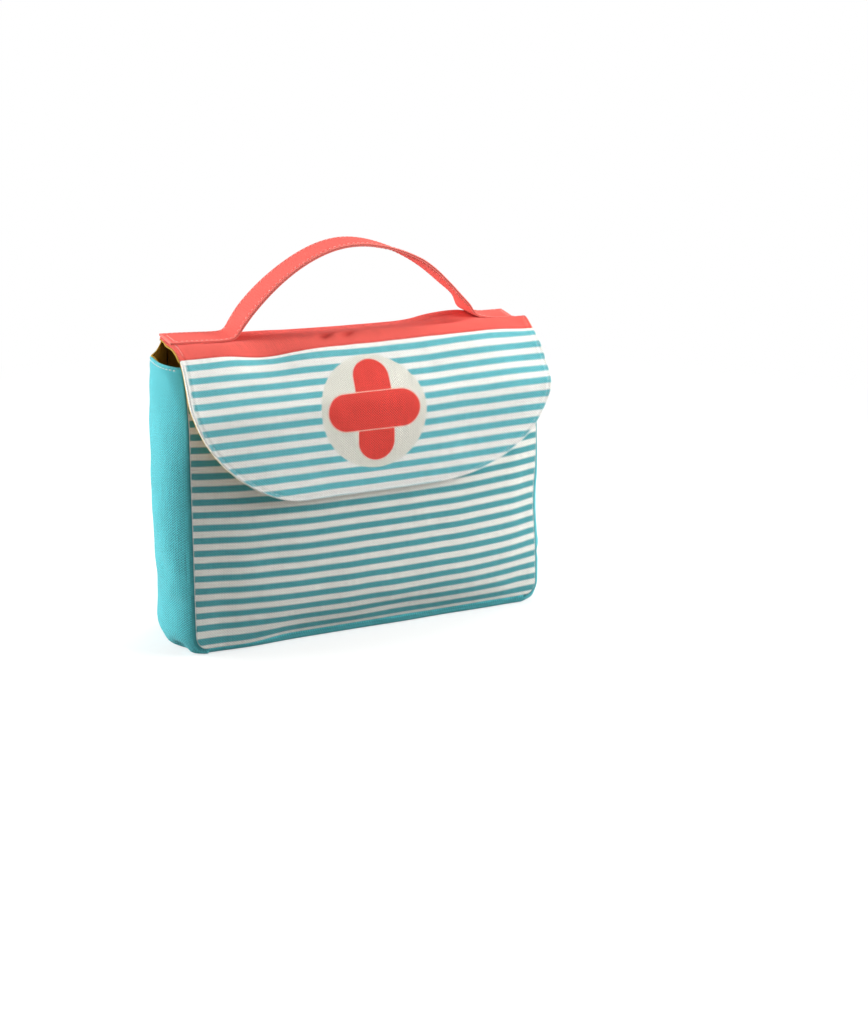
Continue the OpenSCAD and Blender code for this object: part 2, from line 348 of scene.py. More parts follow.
def bottom_surface(k, u, t):
    """The strip under the case: k from -1 to 1 across it, u from the front seam to the back one."""
    z = SEAM_H + t
    half = row_half(0.0, z, t)
    x = k * half
    low = 1 - seam_drop(x, z) / SEAM_H * (1 - smooth(u / 0.1))
    full = (seam_bulge(x) + 0.5 * ripple(x, u * 0, 40, 5, 3)) * (1 - smooth(u / 0.16))
    full = full * smooth((half - abs(x)) / 12)
    y = mix(front_seam_y(z, t), back_seam_y(z, t), u) - full
    return columns(x, y, t + (SEAM_H - floor_drop(u)) * low)


# The flap's middle line: distance s from the hinge and the line's slope there in degrees
FLAP_TURNS = ((-14, -98), (-4, -92), (3, 0), (32, 0), (64, 54), (86, 56), (96, 82), (150, 92))
LINE_STEP, LINE_FIXED_S = 0.25, 10


def flap_turn(s):
    return np.radians(np.interp(s, *zip(*FLAP_TURNS)))


line_s = np.arange(-14, 156, LINE_STEP)
line_turn = flap_turn(line_s + LINE_STEP / 2)
line_y = np.concatenate([[0], np.cumsum(-np.cos(line_turn) * LINE_STEP)[:-1]])
line_z = np.concatenate([[0], np.cumsum(-np.sin(line_turn) * LINE_STEP)[:-1]])
line_y += HINGE_Y - LINE_FIXED_S - np.interp(LINE_FIXED_S, line_s, line_y)
line_z += FLAP_TOP_Z - np.interp(LINE_FIXED_S, line_s, line_z)


def s_at_height(z):
    """Distance from the hinge at which the front part of the line has a height."""
    front = line_s > LINE_FIXED_S
    return np.interp(-z, -line_z[front], line_s[front])


# Two short creases of the band left of its middle, which lean, and the place under the strap's right
# foot, where the band is pressed in
FIRST_CREASE, SECOND_CREASE, CREASE_S, CREASE_LEAN = -21.0, -6.0, 38.0, 0.55
FOOT_X, FOOT_S = 62.0, 33.0
# Rows for hills() in x and s, and in x along the lean and s
FLAP_HILLS = ((-4.2, (-63, 20), (50, 13)), (-2.0, (FOOT_X, 20), (FOOT_S, 5)))
CREASE_HILLS = (
    (-2.2, (FIRST_CREASE, 4), (CREASE_S, 7)),
    (-1.9, (SECOND_CREASE, 4), (CREASE_S, 7)),
    (0.8, ((FIRST_CREASE + SECOND_CREASE) / 2, 4), (CREASE_S, 8)),
)


def flap_wave(x, s):
    """How far the flap's cloth stands out from its even line."""
    front = smooth((s - 34) / 14)
    bump = 1.7 * hill(s, 49, 11) * smooth((112 - abs(x)) / 30)
    folds = front * 0.45 * ripple(x, s * 0.8, 64, 21) + 0.18 * ripple(x, s, 26, 22)
    band = hills(FLAP_HILLS, x, s) + hills(CREASE_HILLS, x + CREASE_LEAN * (s - CREASE_S), s)
    edge = 0.9 * np.sin(s / 4.6 + 0.5) * smooth((abs(x) - 96) / 22) * front * smooth((x + 60) / 60)
    lift = 1.2 * hill(x, -60, 26) * smooth((s - 120) / 26)
    lift = lift - 0.8 * hill(x, 30, 30) * smooth((s - 125) / 25)
    return bump + folds + band + edge + lift


def flap_surface(x, s, t):
    turn = flap_turn(s)
    depth = t - flap_wave(x, s) * smooth((s + 2) / 8)
    y = np.interp(s, line_s, line_y) + depth * np.sin(turn)
    z = np.interp(s, line_s, line_z) - depth * np.cos(turn)
    tucked = 2.6 * np.sign(x) * smooth((abs(x) - 100) / 16) * smooth((2.5 - s) / 4)
    return columns(x - tucked, y, z - top_sag(x) * top_share(x, s))


# The flap's outline: the heights of its lower edge and of its widest place on the line, its half width
# at the top, and for each corner the half width, the radius across and the power of its curve
FLAP_EDGE_Z, FLAP_WIDE_Z, FLAP_TOP_HALF = 101.0, 167.0, 116.2
LEFT_CORNER, RIGHT_CORNER = (116.8, 66.5, 1.73), (118.5, 88.0, 2.03)
WIDE_S, FLAP_END_S = float(s_at_height(FLAP_WIDE_Z)), float(s_at_height(FLAP_EDGE_Z))


def flap_half(z, left):
    """Half width of the flap at a height of its line."""
    wide, radius, power = LEFT_CORNER if left else RIGHT_CORNER
    high = mix(wide, FLAP_TOP_HALF, smooth((z - FLAP_WIDE_Z) / 20))
    k = np.clip((FLAP_WIDE_Z - z) / (FLAP_WIDE_Z - FLAP_EDGE_Z), 0, 1)
    low = wide - radius + radius * (1 - k**power) ** (1 / power)
    return np.where(z > FLAP_WIDE_Z, high, low)


def corner_s(count):
    """Distances from the hinge down the flap's round corners, closer together at the lower edge."""
    turn = np.linspace(0, 1, count) * math.pi / 2
    return s_at_height(FLAP_WIDE_Z - (FLAP_WIDE_Z - FLAP_EDGE_Z) * np.sin(turn))


def outline_points(s_from):
    """The flap's free edge as (x, s) points: down the left side, along the bottom and up the right."""
    down = np.concatenate([np.linspace(s_from, WIDE_S, 40), corner_s(240)[1:]])
    z = np.interp(down, line_s, line_z)
    left, right = (columns(way * flap_half(z, way < 0), down) for way in (-1, 1))
    return np.concatenate([left, right[::-1]])


def distance_to(points, line):
    """Distance of each (x, s) point from a line of points."""
    flat = points.reshape(-1, 2)
    d = np.diff(line, axis=0)
    size = np.maximum((d**2).sum(1), 1e-9)
    best = np.full(len(flat), 1e9)
    for start, along, squared in zip(line[:-1], d, size):
        k = np.clip(((flat - start) @ along) / squared, 0, 1)
        best = np.minimum(best, np.hypot(*(flat - start - k[:, None] * along).T))
    return best.reshape(points.shape[:-1])


def inset_line(line, by):
    """The line moved inwards by a distance, without the loops that this makes."""
    d = np.gradient(line, axis=0)
    moved = line + unit(columns(d[:, 1], -d[:, 0])) * by
    return moved[distance_to(moved, line) > by - 0.05]


# Making meshes


def make_object(name, points, faces, cloth=None):
    mesh = bpy.data.meshes.new(name)
    mesh.from_pydata((np.asarray(points) * MM).tolist(), [], faces)
    mesh.validate()
    mesh.update()
    if cloth is not None:
        layer = mesh.attributes.new("cloth", "FLOAT_VECTOR", "POINT")
        layer.data.foreach_set("vector", np.asarray(cloth, np.float32).ravel())
    mesh.polygons.foreach_set("use_smooth", [True] * len(mesh.polygons))
    piece = bpy.data.objects.new(name, mesh)
    bpy.context.scene.collection.objects.link(piece)
    return piece


def outward(piece):
    """Turns the faces of a closed mesh outwards."""
    mesh = bmesh.new()
    mesh.from_mesh(piece.data)
    bmesh.ops.recalc_face_normals(mesh, faces=mesh.faces)
    mesh.to_mesh(piece.data)
    mesh.free()
    return piece


def quads(rows, cols, first=0, flip=False):
    i, j = np.meshgrid(np.arange(rows - 1), np.arange(cols - 1), indexing="ij")
    a = (first + i * cols + j).ravel()
    made = columns(a, a + 1, a + cols + 1, a + cols)
    return (made[:, ::-1] if flip else made).tolist()


def tube(rows, ring, first=0):
    """Faces of a tube of rows with a ring of points each, and of its two ends."""
    i, j = np.meshgrid(np.arange(rows - 1), np.arange(ring), indexing="ij")
    a, b = first + i * ring + j, first + i * ring + (j + 1) % ring
    sides = columns(a, b, b + ring, a + ring).reshape(-1, 4).tolist()
    start, end = (list(range(k, k + ring)) for k in (first, first + (rows - 1) * ring))
    return [*sides, start[::-1], end]


def border(rows, cols):
    """Indices round the edge of a grid of points."""
    index = np.arange(rows * cols).reshape(rows, cols)
    return np.concatenate([index[0], index[1:, -1], index[-1, -2::-1], index[-2:0:-1, 0]])


def layer_piece(name, outer, inner, cloth, bulge=0.35):
    """A closed layer of cloth between two grids of points, its cut edge rounded outwards."""
    rows, cols = outer.shape[:2]
    n = rows * cols
    ring = border(rows, cols)
    flat_outer, flat_inner, flat_cloth = (p.reshape(-1, 3) for p in (outer, inner, cloth))
    row, col = np.clip(ring // cols, 1, rows - 2), np.clip(ring % cols, 1, cols - 2)
    away = unit(flat_outer[ring] - flat_outer[row * cols + col])
    middle = (flat_outer[ring] + flat_inner[ring]) / 2 + away * bulge
    faces = quads(rows, cols) + quads(rows, cols, n, flip=True)
    m = len(ring)
    for k in range(m):
        a, b = int(ring[k]), int(ring[(k + 1) % m])
        c, d = 2 * n + k, 2 * n + (k + 1) % m
        faces += [[b, a, c, d], [d, c, n + a, n + b]]
    points = np.concatenate([flat_outer, flat_inner, middle])
    cloth = np.concatenate([flat_cloth, flat_cloth, flat_cloth[ring]])
    return outward(make_object(name, points, faces, cloth))


def roll(d, r=1.0):
    """How far a seam's edge turns in at a distance d from it."""
    k = np.clip(1 - d / r, 0, 1)
    return r * (1 - np.sqrt(np.maximum(0, 1 - k * k)))


HEM_H, HEM_STEP, RIM_STITCH_IN = 7.0, 0.35, 1.7


def hem(d):
    """Extra thickness of a turned hem at a distance d from the open rim, with its stitched furrow."""
    return HEM_STEP * smooth((HEM_H - d) / 0.8) - 0.3 * hill(d, RIM_STITCH_IN, 0.8)


def panel_rows(top):
    """Rows of a panel or gusset: (angle, up) pairs, closer together at both ends."""
    angles = np.linspace(0, 90, 13)
    rise = top - CORNER_TOP_Z
    heights = steps(0, 1, 2.6, EDGE, rise, near_start=False)[1:]
    return np.concatenate([angles, 0 * heights + 90]), np.concatenate([0 * angles, heights])


def panel_layer(name, surface, top, depths, seams=0, trim=0.0, sewn_rim=False):
    """A layer of the front or back panel between two depths.

    seams says which way its seams turn in, 1 or -1, or 0 for none. trim cuts the layer back all round,
    and sewn_rim brings it up to the canvas at the rim.
    """
    angle, up = panel_rows(top)
    if trim:
        keep = (angle >= 60) & (up < 1 - trim / (top - SEAM_H))
        angle, up = angle[keep], up[keep]
    half = CASE_W / 2
    a = steps(-1, 1, 2.8, EDGE, half) * (1 - trim / half)
    g_angle, g_a = grid(angle, a)
    g_up = grid(up, a)[0]
    z = row_z(g_angle, g_up, top, 0.0)
    rim_d = top - z
    raised = (depths[0] - CANVAS_T - 0.1) * (1 - smooth(rim_d / 12)) if sewn_rim else 0.0
    outer, inner = (surface(g_a, g_angle, g_up, t - raised) for t in depths)
    side_d = row_half(g_angle, z, 0.0) * (1 - abs(g_a))
    seam_d = np.minimum(side_d, z - SEAM_H)
    if seams:
        outer[..., 1] += seams * (roll(seam_d) - hem(rim_d) * smooth(side_d / 4))
    return layer_piece(name, outer, inner, columns(outer[..., 0], z, np.minimum(seam_d, FAR_IN)))


def lining_lift(side, u, rim_d):
    """How a gusset's lining rolls over the rim towards the back, stands up at the rear corner and sinks."""
    near_rim = smooth((5 - rim_d) / 4)
    rolled = smooth((u - 0.66) / 0.1) * smooth((0.985 - u) / 0.03) * near_rim
    corner = (hill(u, 0.93, 0.05) - 0.4 * hill(u, 0.8, 0.04)) * near_rim
    sunk = 0.7 * smooth((0.6 - u) / 0.1) * near_rim
    out = side * (1.5 * rolled + 0.9 * corner)
    return columns(out, 0 * out, 1.3 * rolled + 1.5 * corner - sunk)


def gusset_layer(name, side, depths, lining=False):
    """A layer of a gusset: its canvas with rolled seams and a hem, or its lining."""
    angle, up = panel_rows(FRONT_H)
    u = steps(0, 1, 2.4, EDGE, GUSSET_DEPTH)
    g_angle, g_u = grid(angle, u)
    g_up = grid(up, u)[0]
    z = row_z(g_angle, g_up, rim_z(g_u), 0.0)
    side_d = np.minimum(g_u, 1 - g_u) * GUSSET_DEPTH
    rim_d = rim_z(g_u) - z
    inward = 0.0 if lining else roll(side_d) - hem(rim_d) * smooth(side_d / 5)
    outer = gusset_surface(side, g_u, g_angle, g_up, depths[0], inward)
    inner = gusset_surface(side, g_u, g_angle, g_up, depths[1])
    if lining:
        lift = lining_lift(side, g_u, rim_d)
        outer, inner = outer + lift, inner + lift
    along = z + np.minimum(g_angle - 90, 0) * 0.12
    cloth = columns(g_u * GUSSET_DEPTH, along, np.minimum(side_d, FAR_IN))
    return layer_piece(name, outer, inner, cloth)


def bottom_layer(name, depths):
    half = row_half(0.0, SEAM_H, 0.0)
    g_k, g_u = grid(steps(-1, 1, 4, EDGE, half), steps(0, 1, 2.5, EDGE, BASE_D))
    outer, inner = (bottom_surface(g_k, g_u, t) for t in depths)
    if depths[0] == 0:
        outer[..., 2] += roll(np.minimum(g_u, 1 - g_u) * BASE_D)
    cloth = columns(g_u * BASE_D, g_k * half, np.full_like(g_u, FAR_IN / 2))
    return layer_piece(name, outer, inner, cloth)


FLAP_FREE_EDGE = outline_points(3.0)
SIDE_STITCH_IN, FLAP_HEM_W, FLAP_HEM_T = 2.5, 5.6, 0.2


def band_dip(x):
    """How far below its even line the seam between band and striped panel runs."""
    return 0.5 * hill(x, -30, 34) - 0.9 * smooth((abs(x) - 62) / 45)


def flap_hem(d):
    """Extra thickness of the flap's hem at a distance d from its free edge."""
    return FLAP_HEM_T * smooth((FLAP_HEM_W - d) / 1.2)


def flap_rows(s0, s1):
    """Rows of the flap: even down its sides, then by angle round its corners."""
    last = corner_s(44) if s1 > WIDE_S else [s1]
    made = np.concatenate([np.arange(s0, min(s1, WIDE_S), 2.0), last])
    return made[np.concatenate([[True], np.diff(made) > 1e-4])]


def flap_layer(name, s0, s1, depths, wider=0.0, canvas=False):
    """A layer of the flap from s0 to s1; wider lets it stand out past the sides."""
    s = flap_rows(s0, s1)
    z = np.interp(s, line_s, line_z)
    left, right = -flap_half(z, True) - wider, flap_half(z, False) + wider
    g_s, g_k = grid(s, steps(0, 1, 2.8, FLAP_EDGE, 2 * FLAP_TOP_HALF))
    x = mix(left[:, None], right[:, None], g_k)
    g_s = g_s + band_dip(x) * hill(g_s, BAND_LEN, 7)
    d = distance_to(columns(x, g_s), FLAP_FREE_EDGE)
    outer, inner = (flap_surface(x, g_s, t) for t in depths)
    if canvas:
        seam = abs(g_s - BAND_LEN - band_dip(x))
        down = roll(d, 0.9) + 0.32 * hill(d, SIDE_STITCH_IN, 0.75) - flap_hem(d) + roll(seam, 0.5) * 0.8
        outer[..., 1] += down * np.sin(flap_turn(g_s))
        outer[..., 2] -= down * np.cos(flap_turn(g_s))
    near_band = smooth((63.5 - g_s) / 7.5)
    print_s = g_s + (0.6 + 1.0 * hill(x, -69, 28)) * near_band + 1.7 * smooth((x - 15) / 90)
    return layer_piece(name, outer, inner, columns(x, print_s, np.minimum(d, FAR_IN)))


# The strap: a doubled band of canvas, flat at its ends and arched between them


def eased(line, reach):
    """A line of (x, z) points resampled and softened over a distance, with its slope as a third value."""
    fine = evenly(np.concatenate([line, line[-1:] + [0.01, 0]]), 0.5)
    k = np.arange(-12, 12.5, 0.5)
    weight = np.exp(-((k / reach) ** 2))
    weight /= weight.sum()
    before, after = fine[:1] + np.outer(k[:24], [1, 0]), fine[-1:] + np.outer(k[25:], [1, 0])
    padded = np.concatenate([before, fine, after])
    made = columns(*(np.convolve(column, weight, "valid") for column in padded.T))[::4]
    d = np.gradient(made, axis=0)
    return np.concatenate([made, np.arctan2(d[:, 1], d[:, 0])[:, None]], 1)


def strap_line():
    """The strap's middle line as rows of x, height and slope, and the x at which it leaves the flap."""
    def rise(x):
        return HANDLE_RISE * (1 - (x / HANDLE_HALF) ** 2)

    arch_x = HANDLE_HALF - 1.7
    slope = math.atan(2 * HANDLE_RISE * arch_x / HANDLE_HALF**2)
    bend_r = rise(arch_x) / (1 - math.cos(slope))
    bend_x = arch_x + bend_r * math.sin(slope)
    flat = np.linspace(-STRAP_END_X, -bend_x, 14, endpoint=False)
    turn = np.linspace(0, slope, 9)
    arch = np.linspace(-arch_x, 0, 46)[1:]
    x = np.concatenate([flat, bend_r * np.sin(turn) - bend_x, arch])
    z = np.concatenate([0 * flat, bend_r * (1 - np.cos(turn)), rise(arch)])
    half = columns(x, z)
    return eased(np.concatenate([half, half[-2::-1] * [-1, 1]]), 2.6), bend_x


STRAP_LINE, BEND_X = strap_line()
STRAP_HALF_W, STRAP_STITCH_IN = STRAP_W / 2, 2.6
# How far the right leg's front and back edges stand out from an even arch: x, and the distance
FRONT_EDGE_OUT = (
    (0, 0.0), (15, 0.3), (30, 1.3), (44, 2.2), (52, 1.7), (60, 0.7),
    (71, 0.0), (78, 0.5), (86, 0.4), (96, 0),
)
BACK_EDGE_OUT = (
    (0, 0.0), (25, -0.3), (40, 0.0), (57, 0.5), (66, 0.8), (71, 1.7),
    (75, 2.4), (79, 1.4), (84, 0.4), (96, 0),
)


def strap_surface(i, across_y, t):
    """Point of the strap: i counts along STRAP_LINE, across_y from the middle, t up from its middle."""
    x, z, slope = (np.interp(i, np.arange(len(STRAP_LINE)), column) for column in STRAP_LINE.T)
    free = np.clip((STRAP_END_X - abs(x)) / (STRAP_END_X - BEND_X), 0, 1)
    t = t * mix(0.72, 1.0, smooth((z - 0.5) / 6)) + smooth(z / 30) * 0.4 * ripple(x, across_y, 60, 31)
    sway = free * (4.4 - np.where(x < 0, 0.02, 0.005) * x)
    down = top_sag(x + sway) * top_share(x + sway, HINGE_Y - STRAP_Y - across_y) * (1 - smooth(z / 14))
    z = z - 0.45 * (1 - smooth((z - 0.3) / 5)) - down
    front_out, back_out = softened(x, FRONT_EDGE_OUT, 2.0), softened(x, BACK_EDGE_OUT, 2.0)
    t = t + mix(front_out, back_out, across_y / STRAP_W + 0.5) * smooth(z / 7)
    x = x + sway + 0.12 * across_y * smooth((x - 96) / 18)
    return columns(x - t * np.sin(slope), STRAP_Y + across_y, STRAP_MID_Z + z + t * np.cos(slope))


def strap_section():
    """The strap's section as (y, t) points: two layers with a fine cleft between them at each edge."""
    inner, half_t = STRAP_HALF_W - 0.6, STRAP_T / 2
    near = (0, 0.5, 1.0, 1.5, 2.0, 2.5, 3.0, 3.6, 4.6)
    ys = steps(-inner, inner, 2.2, near)
    top = half_t - 0.28 * hill(STRAP_HALF_W - abs(ys), STRAP_STITCH_IN, 0.7) - 0.06
    edge_y = STRAP_HALF_W - np.array((0.28, 0.0, 0.1, 0.35, 0.1, 0.0, 0.28))
    edge_t = half_t * np.array((0.86, 0.58, 0.22, 0.0, -0.22, -0.58, -0.86))
    parts = ((ys, top), (edge_y, edge_t), (ys[::-1], -top[::-1]), (-edge_y, -edge_t))
    return np.concatenate([columns(*part) for part in parts])


def strap_piece(name):
    """The whole strap as a loft of its section along its line."""
    section = strap_section()
    rows, ring = len(STRAP_LINE), len(section)
    i, j = np.meshgrid(np.arange(rows), np.arange(ring), indexing="ij")
    y, t = section[j, 0], section[j, 1]
    edge_d = np.minimum(STRAP_HALF_W - abs(y), STRAP_END_X - abs(STRAP_LINE[i, 0]))
    along = lengths(STRAP_LINE[:, :2])[i]
    # The third value is -1 along the cleft, where the strap's material paints shade
    cloth = columns(along, y - np.sign(y) * t, np.where(t == 0, -1.0, edge_d))
    points = strap_surface(i.astype(float), y, t)
    return outward(make_object(name, points.reshape(-1, 3), tube(rows, ring), cloth.reshape(-1, 3)))


# Stitching. Every stitch is a small raised thread, with these shares of its thickness and these heights
# above the cloth along its length.
STITCH_PITCH, STITCH_LENGTH, STITCH_RING, BESIDE = 3.1, 2.1, 6, 0.25
STITCH_SWELL = np.array([0.12, 0.8, 1.0, 0.8, 0.12])
STITCH_RISE = np.array([-0.25, 0.1, 0.2, 0.1, -0.25])


def stitches(name, lines, surface, width=0.5, height=0.3, facing=1):
    """Runs of stitches along lines of (p, q) on a surface, which gives points for (p, q)."""
    turn = 2 * math.pi * np.arange(STITCH_RING) / STITCH_RING
    wide = np.outer(STITCH_SWELL, np.cos(turn)) * width / 2
    high = np.outer(STITCH_SWELL, np.sin(turn)) * height / 2 + STITCH_RISE[:, None]
    rows = len(STITCH_RISE)
    points, faces = [], []
    for line in lines:
        fine = evenly(np.asarray(line, float), 0.5)
        at = lengths(surface(*fine.T))
        count = int((at[-1] - STITCH_LENGTH) / STITCH_PITCH)
        for start in (at[-1] - count * STITCH_PITCH) / 2 + STITCH_PITCH * np.arange(count):
            k = start + np.linspace(0, STITCH_LENGTH, rows)
            p, q = (np.interp(k, at, column) for column in fine.T)
            middle = surface(p, q)
            along_p = surface(p + BESIDE, q) - surface(p - BESIDE, q)
            along_q = surface(p, q + BESIDE) - surface(p, q - BESIDE)
            normal = facing * unit(np.cross(along_p, along_q))
            sideways = np.cross(normal, unit(np.gradient(middle, axis=0)))
            faces += tube(rows, STITCH_RING, len(points) * rows * STITCH_RING)
            offsets = sideways[:, None] * wide[..., None] + normal[:, None] * high[..., None]
            points.append(middle[:, None] + offsets)
    return outward(make_object(name, np.array(points).reshape(-1, 3), faces))


# Materials


def srgb(code):
    values = [int(code[i : i + 2], 16) / 255 for i in (1, 3, 5)]
    return tuple(v / 12.92 if v <= 0.04045 else ((v + 0.055) / 1.055) ** 2.4 for v in values) + (1.0,)


WHITE, STRIPE = srgb("#F0F0EC"), srgb("#5FB9C2")
# The body's print is the same cloth as the flap's; these darker copies of its white and teal are painted
# shade
BODY_WHITE_SHADED, BODY_STRIPE_SHADED = srgb("#EAEAE4"), srgb("#489FA6")
# CORAL_SHADE is the coral darkened for painted shade on the band
TEAL, CORAL, CORAL_PALE, CORAL_SHADE = srgb("#59BFC8"), srgb("#EA645B"), srgb("#EE8077"), srgb("#C0281F")
MUSTARD, MUSTARD_PALE = srgb("#C69A2C"), srgb("#E2BC62")
DISC, PLASTER, CROSSING = srgb("#E2E1D6"), srgb("#E54A42"), srgb("#F2B7A6")
WHITE_THREAD, PINK_THREAD = srgb("#E4ECEA"), srgb("#F8BDB2")
BOARD_DARK, BOARD_PALE = srgb("#9C927F"), srgb("#CABFA9")
FASTENER_PALE, FASTENER_DARK = srgb("#F4F3EE"), srgb("#C9C8C2")


def operator(name, turned=False):
    """A method that adds a Math node for an operator; turned puts the other value first."""
    def method(self, other):
        return self.nodes.math(name, *((other, self) if turned else (self, other)))
    return method


class Value:
    """A node's output. Sums, differences, products and quotients of it add Math nodes."""

    def __init__(self, nodes, socket):
        self.nodes, self.socket = nodes, socket

    __add__, __radd__ = operator("ADD"), operator("ADD", True)
    __sub__, __rsub__ = operator("SUBTRACT"), operator("SUBTRACT", True)
    __mul__, __truediv__ = operator("MULTIPLY"), operator("DIVIDE")

    def __abs__(self):
        return self.nodes.math("ABSOLUTE", self)


class Nodes:
    """Short ways to add nodes to one material or to the world."""

    def __init__(self, owner):
        owner.use_nodes = True
        self.tree = owner.node_tree

    def put(self, socket, value):
        if isinstance(value, Value):
            self.tree.links.new(value.socket, socket)
        else:
            socket.default_value = value

    def node(self, kind, inputs=None, **settings):
        """Adds a node with its own settings, and sets or links its inputs."""
        made = self.tree.nodes.new("ShaderNode" + kind)
        for key, setting in settings.items():
            setattr(made, key, setting)
        for key, value in (inputs or {}).items():
            self.put(made.inputs[key], value)
        return made

    def value(self, kind, inputs=None, output=0, **settings):
        return Value(self, self.node(kind, inputs, **settings).outputs[output])

    def shade(self, inputs):
        """Sets or links inputs of the material's own shader, and returns its output."""
        shader = next(n for n in self.tree.nodes if n.type == "BSDF_PRINCIPLED")
        for key, value in inputs.items():
            self.put(shader.inputs[key], value)
        return Value(self, shader.outputs[0])

    def bump(self, height, strength, distance):
        inputs = {"Strength": strength, "Distance": distance * MM, "Height": height}
        self.shade({"Normal": self.value("Bump", inputs)})

    def math(self, operation, a, b=0.0):
        return self.value("Math", {0: a, 1: b}, operation=operation)

    def length(self, a, b):
        return self.math("SQRT", a * a + b * b)

    def step(self, value, edge, soft):
        """0 below edge, 1 above it, over a width of soft."""
        inputs = {"Value": value, "From Min": edge - soft / 2, "From Max": edge + soft / 2}
        return self.value("MapRange", inputs, interpolation_type="SMOOTHSTEP")

    def range(self, value, low, high):
        return self.value("MapRange", {"Value": value, "To Min": low, "To Max": high})

    def mix(self, factor, a, b):
        return self.value("Mix", {0: factor, 6: a, 7: b}, 2, data_type="RGBA")

    def scaled(self, colour, by):
        colour = colour if isinstance(colour, Value) else colour[:3]
        return self.value("VectorMath", {0: colour, "Scale": by}, operation="SCALE")

    def vector(self, x, y):
        return self.value("CombineXYZ", {0: x, 1: y})

    def split(self, vector):
        return [Value(self, out) for out in self.node("SeparateXYZ", {0: vector}).outputs]

    def noise(self, vector, scale, detail, roughness=0.5):
        inputs = {"Vector": vector, "Scale": scale, "Detail": detail, "Roughness": roughness}
        return self.value("TexNoise", inputs, "Fac")

    def cloth(self):
        """The cloth's own coordinates in millimetres: across, along, and distance from the edge."""
        return self.split(self.value("Attribute", None, "Vector", attribute_name="cloth"))

    def seen(self):
        """1 where the camera sees the surface, also in a reflection or through glass."""
        rays = self.node("LightPath").outputs
        kinds = ("Camera", "Glossy", "Transmission")
        camera, glossy, through = (Value(self, rays[f"Is {kind} Ray"]) for kind in kinds)
        return self.math("MAXIMUM", camera, self.math("MAXIMUM", glossy, through))


def material_nodes(name):
    material = bpy.data.materials.new(name)
    return material, Nodes(material)


def weave(m, u, v, thread):
    """Height of a plain weave, about 0 to 1, and the unevenness of its threads."""
    slub_u = m.noise(m.vector(u * 0.06, v * 0.9), 1.0, 3.0, 0.6)
    slub_v = m.noise(m.vector(u * 0.9, v * 0.06), 1.0, 3.0, 0.6)
    bent_u = u + (slub_u - 0.5) * 0.5
    bent_v = v + (slub_v - 0.5) * 0.5
    turns = math.pi / thread
    a, b = m.math("SINE", bent_u * turns), m.math("SINE", bent_v * turns)
    cords = m.math("SINE", bent_u * (turns / 0.95))
    height = a * b * 0.5 + abs(a) * abs(b) * 0.4 + cords * 0.06 + 0.34
    return height, slub_u * 0.3 + slub_v * 0.7


# How strongly weave, threads, grain and patches lighten or darken a cloth, the least and most that they
# leave of its colour, and its roughness, creases and bump
WEAVE_SHARE, THREAD_SHARE, GRAIN_SHARE, PATCH_SHARE = 1.3, 0.8, 1.6, 0.1
DARKEST, LIGHTEST = 0.4, 1.5
ROUGH_LOW, ROUGH_HIGH, CREASE_BUMP, CLOTH_BUMP = 0.84, 0.98, 0.5, 0.55


def finish_cloth(m, colour, u, v, contrast, thread=0.8, sheen=0.12, bump=0.3, shine=0.15):
    """Adds weave, uneven dye and small creases to a cloth's colour, and sets the shader."""
    height, threads = weave(m, u, v, thread)
    place = m.vector(u, v)
    patches = m.noise(place, 0.035, 4.0, 0.55)
    grain = m.noise(place, 1.0, 3.0, 0.75)
    light = (height - 0.5) * (contrast * WEAVE_SHARE) + (threads - 0.5) * (contrast * THREAD_SHARE)
    light = light + (grain - 0.5) * (contrast * GRAIN_SHARE) + (patches - 0.5) * PATCH_SHARE
    light = m.math("MINIMUM", m.math("MAXIMUM", light + 1.0, DARKEST), LIGHTEST)
    m.shade({
        "Base Color": m.scaled(colour, light),
        "Roughness": m.range(grain, ROUGH_LOW, ROUGH_HIGH),
        "Specular IOR Level": shine,
        "Sheen Weight": sheen,
        "Sheen Roughness": 0.5,
    })
    creases = m.noise(place, 0.09, 3.0, 0.55)
    m.bump(height * bump + grain * (bump * 0.4) + creases * CREASE_BUMP, CLOTH_BUMP, 1.0)


def plain_canvas(name, colour, edges=None, **finish):
    """Canvas of one colour; edges(m, u, v, d, colour) changes the colour by the place on the cloth."""
    material, m = material_nodes(name)
    u, v, d = m.cloth()
    if edges is not None:
        colour = edges(m, u, v, d, colour)
    finish_cloth(m, colour, u, v, **finish)
    return material


def band_crease_shade(m, u, v, d, colour):
    """Painted shade: deeper red in the band's two creases, and a painted shadow under the strap's right end.
    """
    leant = u + (v - CREASE_S) * CREASE_LEAN
    along = 1.0 - m.step(abs(v - CREASE_S), 6.0, 11.0)
    dark = sum(1.0 - m.step(abs(leant - at), 3.4, 6.8) for at in (FIRST_CREASE, SECOND_CREASE))
    under = (1.0 - m.step(abs(u - FOOT_X), 8.0, 26.0)) * (1.0 - m.step(abs(v - FOOT_S), 2.0, 6.0))
    return m.mix((dark * along + under) * 0.5, colour, CORAL_SHADE)


def strap_pale_edges_and_cleft_shade(m, u, v, d, colour):
    """Paler coral along the edges, and painted shade in the cleft between the two layers."""
    pale = m.mix(m.step(d, 0.8, 1.0), CORAL_PALE, colour)
    return m.mix(m.step(d, -0.4, 0.8), m.scaled(colour, 0.55), pale)


def seam_shade(m, u, v, d, colour):
    """Painted shade: darker where the cloth turns into its seam."""
    return m.scaled(colour, m.range(m.step(d, 0.6, 1.3), 0.4, 1.0))


def lining_edges(m, u, v, d, colour):
    """Paler on the turned edge of the lining."""
    return m.mix(m.step(d, 0.4, 1.2), MUSTARD_PALE, colour)


def bled(m, u, v, scale=0.9):
    """Unevenness of a printed edge, from about -0.5 to 0.5."""
    return m.noise(m.vector(u, v), scale, 3.0, 0.7) - 0.5


